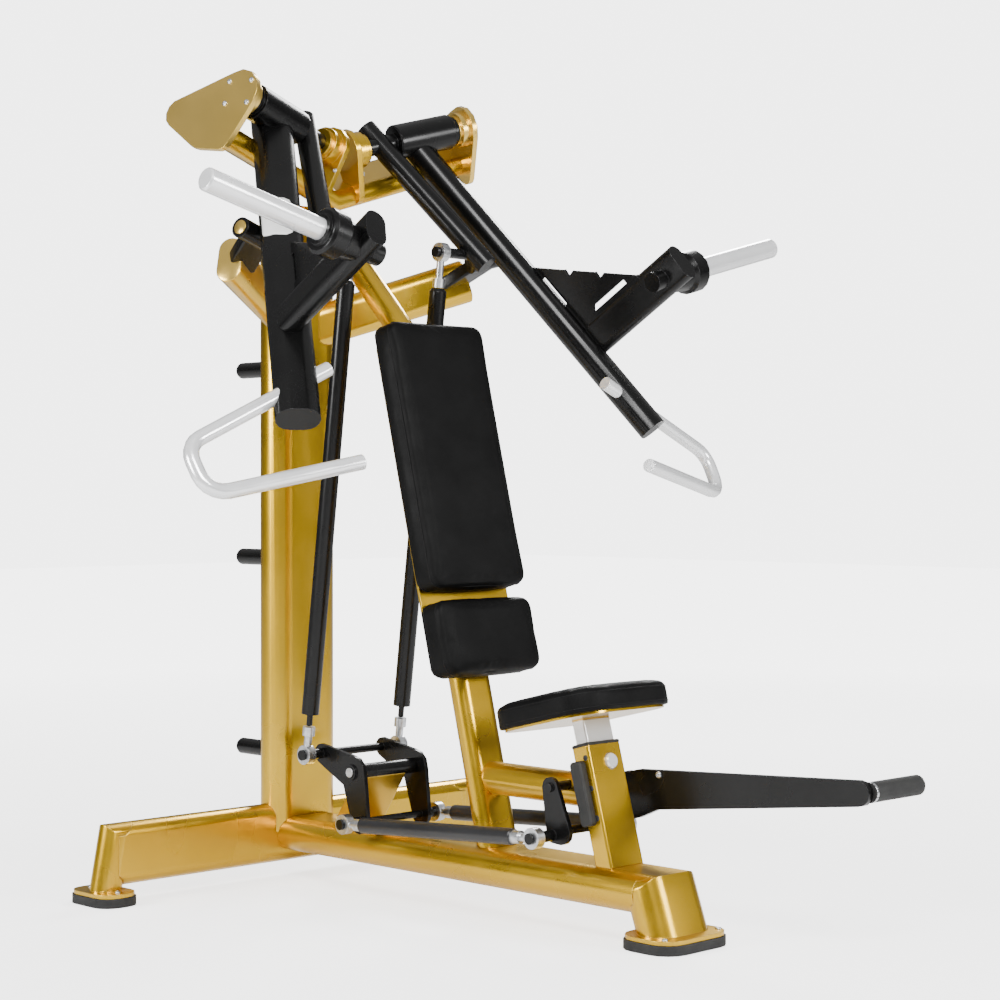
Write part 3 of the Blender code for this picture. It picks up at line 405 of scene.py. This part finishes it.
def plain_normals():
    """Node group that drops stored normals and shades every face smooth."""
    group = bpy.data.node_groups.new("plain_normals", "GeometryNodeTree")
    group.interface.new_socket("Geometry", in_out="INPUT", socket_type="NodeSocketGeometry")
    group.interface.new_socket("Geometry", in_out="OUTPUT", socket_type="NodeSocketGeometry")
    drop = group.nodes.new("GeometryNodeRemoveAttribute")
    drop.inputs["Name"].default_value = "custom_normal"
    smooth = group.nodes.new("GeometryNodeSetShadeSmooth")
    chain = [group.nodes.new("NodeGroupInput"), drop, smooth, group.nodes.new("NodeGroupOutput")]
    for before, after in zip(chain, chain[1:]):
        group.links.new(before.outputs["Geometry"], after.inputs["Geometry"])
    return group


def smooth_shading(node, normals):
    """Shade a CAD node's round faces smooth and keep its real edges crisp, by modifiers only."""
    node.modifiers.new("plain_normals", "NODES").node_group = normals
    weld = node.modifiers.new("join_faces", "WELD")
    weld.merge_threshold = WELD_DISTANCE
    plain = node.modifiers.new("plain_faces", "DECIMATE")
    plain.decimate_type = "DISSOLVE"
    plain.angle_limit = COPLANAR
    crisp = node.modifiers.new("crisp_edges", "EDGE_SPLIT")
    crisp.split_angle = CRISP
    crisp.use_edge_sharp = False
    even = node.modifiers.new("flat_faces_lead", "WEIGHTED_NORMAL")
    even.mode = "FACE_AREA"
    even.weight = 90


def finish_of(part):
    """Name of the finish a CAD node wears."""
    if part["node"].startswith("outer_bearing_plate"):
        return "pale_gold"
    if part["node"].startswith("link_rod"):
        return "link_rod_finish"
    if part["node"] == "seat_slider":
        return "seat_slider_finish"
    return part["material_slot"]


def dress_frame():
    """Give every CAD node its finish and its smooth shading."""
    normals = plain_normals()
    for part in frame["record"]["subparts"]:
        node = frame["nodes"][part["node"]]
        node.data.materials.clear()
        node.data.materials.append(PAINT[finish_of(part)])
        smooth_shading(node, normals)


# ---- Shapes --------------------------------------------------------------------------------
def rounded_outline(width, height, radius, steps=6):
    """Rectangle with round corners, about the origin."""
    points = []
    for corner, (sx, sy) in enumerate(CORNERS):
        for step in range(steps + 1):
            angle = math.pi / 2 * (corner + step / steps)
            points.append(Vector((sx * (width / 2 - radius) + radius * math.cos(angle),
                                  sy * (height / 2 - radius) + radius * math.sin(angle))))
    return points


def circle_outline(radius, steps=24):
    angles = [2 * math.pi * i / steps for i in range(steps)]
    return [Vector((radius * math.cos(angle), radius * math.sin(angle))) for angle in angles]


def lofted(rings, hollow=False):
    """Closed solid through outlines given as (points, height); a hollow one ends where it began."""
    bm = bmesh.new()
    loops = [[bm.verts.new((p.x, p.y, z)) for p in outline] for outline, z in rings]
    following = loops[1:] + loops[:1] if hollow else loops[1:]
    for lower, upper in zip(loops, following):
        for i in range(len(lower)):
            j = (i + 1) % len(lower)
            bm.faces.new((lower[i], lower[j], upper[j], upper[i]))
    if not hollow:
        bm.faces.new(loops[0])
        bm.faces.new(loops[-1])
    bmesh.ops.recalc_face_normals(bm, faces=bm.faces)
    return bm


def new_piece(name, bm, place, paint, body):
    """A finished piece that rides on a CAD body."""
    mesh = bpy.data.meshes.new(name)
    bm.transform(place)
    bm.to_mesh(mesh)
    bm.free()
    mesh.shade_smooth()
    mesh.set_sharp_from_angle(angle=math.radians(40))
    mesh.materials.append(PAINT[paint])
    piece = bpy.data.objects.new(name, mesh)
    bpy.context.scene.collection.objects.link(piece)
    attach(piece, body)
    return piece


def bolt_head(radius, height):
    """Domed button head with a socket sunk in it."""
    profile = ((1.0, 0.0), (1.0, 0.45), (0.84, 0.85), (0.58, 1.0), (0.46, 1.0), (0.43, 0.35))
    return lofted([(circle_outline(radius * wide), height * high) for wide, high in profile])


# ---- Pads ----------------------------------------------------------------------------------
def apply_modifiers(piece):
    graph = bpy.context.evaluated_depsgraph_get()
    mesh = bpy.data.meshes.new_from_object(piece.evaluated_get(graph))
    piece.modifiers.clear()
    piece.data = mesh


def remeshed(size, radius, thickness):
    """Rounded slab, a little smaller than the pad, cut into even cells ready to swell."""
    width, height = (length - 2 * PAD_SHRINK for length in size)
    middle = rounded_outline(width, height, radius)
    inset = rounded_outline(width - 0.010, height - 0.010, radius - 0.005)
    bm = lofted([(middle, 0.0), (middle, 0.004), (middle, thickness - 0.014),
                 (inset, thickness - PAD_SHRINK)])
    mesh = bpy.data.meshes.new("pad")
    bm.to_mesh(mesh)
    bm.free()
    piece = bpy.data.objects.new("pad", mesh)
    bpy.context.scene.collection.objects.link(piece)
    remesh = piece.modifiers.new("cells", "REMESH")
    remesh.mode = "VOXEL"
    remesh.voxel_size = PAD_VOXEL
    apply_modifiers(piece)
    return piece


def swell(piece, thickness):
    """Blow the pad up like stuffed cloth, holding its back flat on the board behind it."""
    start = [vertex.co.copy() for vertex in piece.data.vertices]
    held = piece.vertex_groups.new(name="held")
    held.add([i for i, co in enumerate(start) if co.z < PAD_HELD], 1.0, "REPLACE")
    cloth = piece.modifiers.new("cloth", "CLOTH")
    cloth.settings.use_pressure = True
    cloth.settings.uniform_pressure_force = PAD_PRESSURE
    cloth.settings.vertex_group_mass = "held"
    cloth.settings.tension_stiffness = 60.0
    cloth.settings.compression_stiffness = 60.0
    cloth.settings.bending_stiffness = 8.0
    cloth.settings.effector_weights.gravity = 0.0
    cloth.point_cache.frame_start = 1
    cloth.point_cache.frame_end = SWELL_STEPS
    for step in range(1, SWELL_STEPS + 1):
        bpy.context.scene.frame_set(step)
    apply_modifiers(piece)
    for vertex, before in zip(piece.data.vertices, start):
        move = vertex.co - before
        if move.length > PAD_CAP:
            vertex.co = before + move.normalized() * PAD_CAP
        vertex.co.z = min(max(vertex.co.z, 0.0), thickness + PAD_CAP)


def crown(piece, size, thickness):
    """Bring the pad to its full width and length, and dome its face slightly."""
    for axis in (0, 1):
        reach = max(abs(vertex.co[axis]) for vertex in piece.data.vertices)
        for vertex in piece.data.vertices:
            vertex.co[axis] *= (size[axis] / 2 - 0.0008) / reach
    for vertex in piece.data.vertices:
        co = vertex.co
        across = min(1.0, abs(co.x) / (size[0] / 2))
        along = min(1.0, abs(co.y) / (size[1] / 2))
        high = max(0.0, (co.z - thickness * 0.5) / (thickness * 0.5))
        co.z += high * (PAD_CROWN * (1 - across ** 4) * (1 - along ** 6) - PAD_CROWN / 2)


def outward(outline, i):
    """Direction out of an outline at one of its points."""
    ahead = outline[(i + 1) % len(outline)] - outline[i - 1]
    return Vector((ahead.y, -ahead.x)).normalized()


def girth(piece, size, radius, height):
    """Outline of the swollen pad at one height, felt from outside towards its middle."""
    cover = BVHTree.FromPolygons([vertex.co for vertex in piece.data.vertices],
                                 [face.vertices for face in piece.data.polygons])
    outline = rounded_outline(size[0], size[1], radius, 8)
    felt = []
    for i, point in enumerate(outline):
        away = outward(outline, i).to_3d()
        start = Vector((point.x, point.y, height)) + away * 0.03
        hit = cover.ray_cast(start, -away, 0.08)[0]
        felt.append(hit.to_2d() if hit else point)
    return felt


def welt(outline, height, place, name, body):
    """Thin piped seam round a pad, along an outline at one height."""
    bm = bmesh.new()
    section = circle_outline(WELT_RADIUS, 8)
    rings = []
    for i, point in enumerate(outline):
        away = outward(outline, i)
        flats = [point + away * offset.x for offset in section]
        rings.append([bm.verts.new((flat.x, flat.y, height + offset.y))
                      for flat, offset in zip(flats, section)])
    for ring, following in zip(rings, rings[1:] + rings[:1]):
        for k, vertex in enumerate(ring):
            bm.faces.new((ring[k - 1], vertex, following[k], following[k - 1]))
    bmesh.ops.recalc_face_normals(bm, faces=bm.faces)
    new_piece(name, bm, place, "thread", body)


def soften(piece):
    """Even out the cover's cells and round them off."""
    smooth = piece.modifiers.new("smooth", "SMOOTH")
    smooth.factor = 0.5
    smooth.iterations = 5
    subdivide = piece.modifiers.new("subdivide", "SUBSURF")
    subdivide.levels = subdivide.render_levels = 1
    apply_modifiers(piece)


def pad(name, node, body, size, radius, thickness, place):
    """Upholstered pad: swollen leatherette with a piped seam near its face and one at its back."""
    piece = remeshed(size, radius, thickness)
    swell(piece, thickness)
    soften(piece)
    crown(piece, size, thickness)
    seams = {end: (girth(piece, size, radius, thickness * part), thickness * part)
             for end, part in (("front", FRONT_SEAM), ("back", BACK_SEAM))}
    piece.name = name
    piece.data.transform(place)
    piece.data.shade_smooth()
    piece.data.materials.clear()
    piece.data.materials.append(PAINT["leatherette"])
    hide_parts(node)
    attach(piece, body)
    for end, (outline, height) in seams.items():
        welt(outline, height, place, f"{name}_{end}_welt", body)


def build_pads():
    for name, node, (width, height, rise) in (("upper_back_cushion", "back_pad", UPPER_PAD),
                                              ("lower_back_cushion", "lower_back_pad", LOWER_PAD)):
        place = BACK @ Matrix.Translation((0, rise, -BOARD_TO_FACE))
        pad(name, node, "frame", (width, height), BACK_PAD_CORNER, PAD_THICK, place)
    pad("seat_cushion", "seat_pad", "seat", SEAT_SIZE[:2], SEAT_CORNER, SEAT_SIZE[2], SEAT)


# ---- Small fittings ------------------------------------------------------------------------
def build_plate_bolts():
    for side, name in SIDES.items():
        face = arm_axis(side, OUTER_FACE_AT)
        for index, (x, y) in enumerate(CORNERS):
            place = face @ Matrix.Translation((x * 0.034, y * 0.028, 0))
            new_piece(f"outer_bolt_{name}_{index}", bolt_head(0.0065, 0.004), place, "zinc", "frame")


def build_yoke_caps():
    """Moulded plugs in the open ends of the lower crossbeam."""
    broad, narrow = LOWER_YOKE_TUBE
    full = rounded_outline(broad, narrow, 0.0298)
    inner = rounded_outline(broad - 0.012, narrow - 0.012, 0.0238)
    for side, name in SIDES.items():
        end = spot(side * LOWER_YOKE_END[0], *LOWER_YOKE_END[1:])
        place = axes(end, end - spot(*LOWER_YOKE_MIDDLE), Z_AXIS)
        cap = lofted([(full, 0.0), (full, 0.002), (inner, 0.0045)])
        new_piece(f"yoke_cap_{name}", cap, place, "pale_gold", "frame")


def arm_frame(side):
    """Placement at the top of an arm tube: Z down the tube, X across its broad way."""
    top = spot(side * ARM_TOP[0], *ARM_TOP[1:])
    along = spot(side * ARM_FOOT[0], *ARM_FOOT[1:]) - top
    return axes(top, along, along.cross(Z_AXIS))


def wrap(across, lift):
    """Point on the arm tube's oval section, by distance round it from its front's middle."""
    radius = ARM_TUBE[1] / 2
    flat = ARM_TUBE[0] / 2 - radius
    if abs(across) <= flat:
        return across, -radius - lift
    angle = (abs(across) - flat) / radius
    x = flat + (radius + lift) * math.sin(angle)
    return math.copysign(x, across), -(radius + lift) * math.cos(angle)


def build_badge():
    """Blank pale badge stuck round the front of the right arm."""
    half_width, half_length, corner = BADGE_SIZE
    rows, columns = 16, 12
    bm = bmesh.new()
    grid = []
    for row in range(rows + 1):
        along = half_length * (2 * row / rows - 1)
        past = max(0.0, abs(along) - (half_length - corner))
        reach = half_width - corner + math.sqrt(max(corner ** 2 - past ** 2, 1e-8))
        line = []
        for column in range(columns + 1):
            x, y = wrap(BADGE_AT[0] + reach * (2 * column / columns - 1), 0.0006)
            line.append(bm.verts.new((x, y, BADGE_AT[1] + along)))
        grid.append(line)
    for lower, upper in zip(grid, grid[1:]):
        for i in range(columns):
            bm.faces.new((lower[i], lower[i + 1], upper[i + 1], upper[i]))
    badge = new_piece("arm_badge", bm, arm_frame(-1), "pale_plastic", "arm_right")
    solid = badge.modifiers.new("thickness", "SOLIDIFY")
    solid.thickness = 0.0008
    solid.offset = 1.0


def disc(name, radius, thickness, place, paint, body):
    """Shallow cap with a rolled edge."""
    bm = lofted([(circle_outline(radius), 0.0003), (circle_outline(radius), thickness * 0.6),
                 (circle_outline(radius * 0.92), thickness)])
    new_piece(name, bm, place, paint, body)


def build_rest_caps():
    """Gold discs in the outer ends of the arm rests."""
    for side, name in SIDES.items():
        place = arm_frame(side)
        along = place.to_3x3() @ Z_AXIS
        pivot_axis = facing(side, *AXIS_SLOPE)
        clear = pivot_axis.cross(along).normalized()
        clear = clear if clear.y > 0 else -clear
        broad = abs(clear.dot(place.to_3x3() @ X_AXIS))
        reach = (ARM_TUBE[0] - ARM_TUBE[1]) / 2 * broad + ARM_TUBE[1] / 2
        rest = place.to_translation() + along * REST_ALONG + clear * (reach + REST_RADIUS)
        end = axes(rest + pivot_axis * REST_HALF_LENGTH, pivot_axis, Y_AXIS)
        disc(f"arm_rest_cap_{name}", 0.017, 0.0025, end, "pale_gold", "frame")


def build_seat_fittings():
    bore = rounded_outline(SLIDER_SIZE[0] + 0.001, SLIDER_SIZE[1] + 0.001, 0.0045)
    collar = lofted([(rounded_outline(0.110, 0.050, 0.007), 0.0003),
                     (rounded_outline(0.110, 0.050, 0.007), 0.005),
                     (rounded_outline(0.104, 0.044, 0.005), 0.007),
                     (bore, 0.007), (bore, 0.0003)], hollow=True)
    new_piece("post_collar", collar, POST, "rubber", "frame")
    block = lofted([(rounded_outline(0.030, 0.140, 0.008), 0.0),
                    (rounded_outline(0.034, 0.144, 0.010), 0.003),
                    (rounded_outline(0.034, 0.144, 0.010), 0.017),
                    (rounded_outline(0.028, 0.138, 0.007), 0.020)])
    middle = POST @ Vector((-POST_SIDE - 0.0002, 0.006, -0.102))
    place = axes(middle, -X_AXIS, Y_AXIS) @ Matrix.Rotation(POST_LEAN, 4, "Z")
    new_piece("post_side_block", block, place, "rubber", "frame")


def build_pedal_fittings():
    """Bolt on the pedal lever's inner face, and a metal ring where the grip starts."""
    bolt = axes(spot(LEVER_FACE, 1.135, 0.345), -X_AXIS, Z_AXIS)
    new_piece("pedal_bolt", bolt_head(0.008, 0.005), bolt, "zinc", "pedal")
    rim, crest = circle_outline(0.0210), circle_outline(0.0220)
    ring = lofted([(rim, 0.0), (crest, 0.002), (crest, 0.008), (rim, 0.010)])
    low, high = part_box("foot_grip")
    middle = (Vector(low) + Vector(high)) / 2
    start = Vector((low[0] + 0.0004, middle.y, middle.z))
    new_piece("grip_ring", ring, axes(start, X_AXIS, Y_AXIS), "zinc", "pedal")


def build_post_holes():
    """Black plugs in the post's side."""
    for index, along in enumerate((-0.026, -0.094, -0.160)):
        hole = POST @ Vector((-POST_SIDE, -0.012, along))
        disc(f"post_hole_{index}", 0.0065, 0.0010, axes(hole, -X_AXIS, Y_AXIS), "rubber", "frame")


def build_side_bolts(side, name):
    """Bolts of one side's inner plate and feet, and its rocker washer."""
    face = arm_axis(side, INNER_FACE_AT)
    for index, (x, y) in enumerate(CORNERS):
        place = face @ Matrix.Translation((x * 0.036, y * 0.030 - side * 0.030, 0))
        new_piece(f"inner_bolt_{name}_{index}", bolt_head(0.006, 0.0035), place, "zinc", "frame")
    for index, forward in enumerate((-0.055, 0.055)):
        place = Matrix.Translation(spot(side * 0.590, forward, FOOT_TOP))
        new_piece(f"rear_foot_bolt_{name}_{index}", bolt_head(0.007, 0.004), place, "zinc", "frame")
    place = Matrix.Translation(spot(side * 0.088, 1.322, FOOT_TOP))
    new_piece(f"front_foot_bolt_{name}", bolt_head(0.007, 0.004), place, "zinc", "frame")
    place = axes(spot(side * 0.1102, *ROCKER_PIVOT), side * X_AXIS, Z_AXIS)
    disc(f"rocker_washer_{name}", 0.012, 0.003, place, "zinc", "rocker")


def build_all():
    dress_frame()
    build_pads()
    build_plate_bolts()
    build_yoke_caps()
    build_badge()
    build_rest_caps()
    build_seat_fittings()
    build_post_holes()
    for side, name in SIDES.items():
        build_side_bolts(side, name)
    build_pedal_fittings()


# ---- Stage ---------------------------------------------------------------------------------
def area_light(name, place, target, size, power):
    data = bpy.data.lights.new(name, "AREA")
    data.size = size
    data.energy = power
    light = bpy.data.objects.new(name, data)
    light.location = place
    light.rotation_euler = (Vector(target) - Vector(place)).to_track_quat("-Z", "Y").to_euler()
    bpy.context.scene.collection.objects.link(light)


def build_world():
    """Plain white to the camera; for reflections, dim with a brighter sky, as in a studio tent."""
    world = bpy.data.worlds.new("studio")
    world.use_nodes = True
    nodes, links = world.node_tree.nodes, world.node_tree.links
    direction = nodes.new("ShaderNodeTexCoord").outputs["Generated"]
    split = nodes.new("ShaderNodeSeparateXYZ")
    links.new(direction, split.inputs["Vector"])
    ramp = nodes.new("ShaderNodeValToRGB")
    ramp.color_ramp.elements.new(0.5)
    for element, (position, grey) in zip(ramp.color_ramp.elements, SKY):
        element.position = position
        element.color = (grey, grey, grey, 1.0)
    links.new(split.outputs["Z"], ramp.inputs["Fac"])
    rays = nodes.new("ShaderNodeLightPath")
    choice = nodes.new("ShaderNodeMix")
    choice.data_type = "RGBA"
    links.new(rays.outputs["Is Camera Ray"], choice.inputs["Factor"])
    links.new(ramp.outputs["Color"], choice.inputs["A"])
    choice.inputs["B"].default_value = (BACKDROP, BACKDROP, BACKDROP, 1.0)
    background = nodes["Background"]
    links.new(choice.outputs["Result"], background.inputs["Color"])
    background.inputs["Strength"].default_value = 1.0
    bpy.context.scene.world = world


def build_camera():
    data = bpy.data.cameras.new("camera")
    data.lens = CAMERA_LENS
    data.sensor_width = 36.0
    camera = bpy.data.objects.new("camera", data)
    camera.location = CAMERA_AT
    camera.rotation_euler = [math.radians(angle) for angle in CAMERA_TURN]
    bpy.context.scene.collection.objects.link(camera)
    bpy.context.scene.camera = camera


def build_stage():
    bpy.ops.mesh.primitive_plane_add(size=40, location=(0, 0, -0.0005))
    floor = bpy.context.object
    floor.name = "floor"
    floor.data.materials.append(PAINT["floor"])
    build_world()
    for light in LIGHTS:
        area_light(*light)
    build_camera()


build_all()
build_stage()
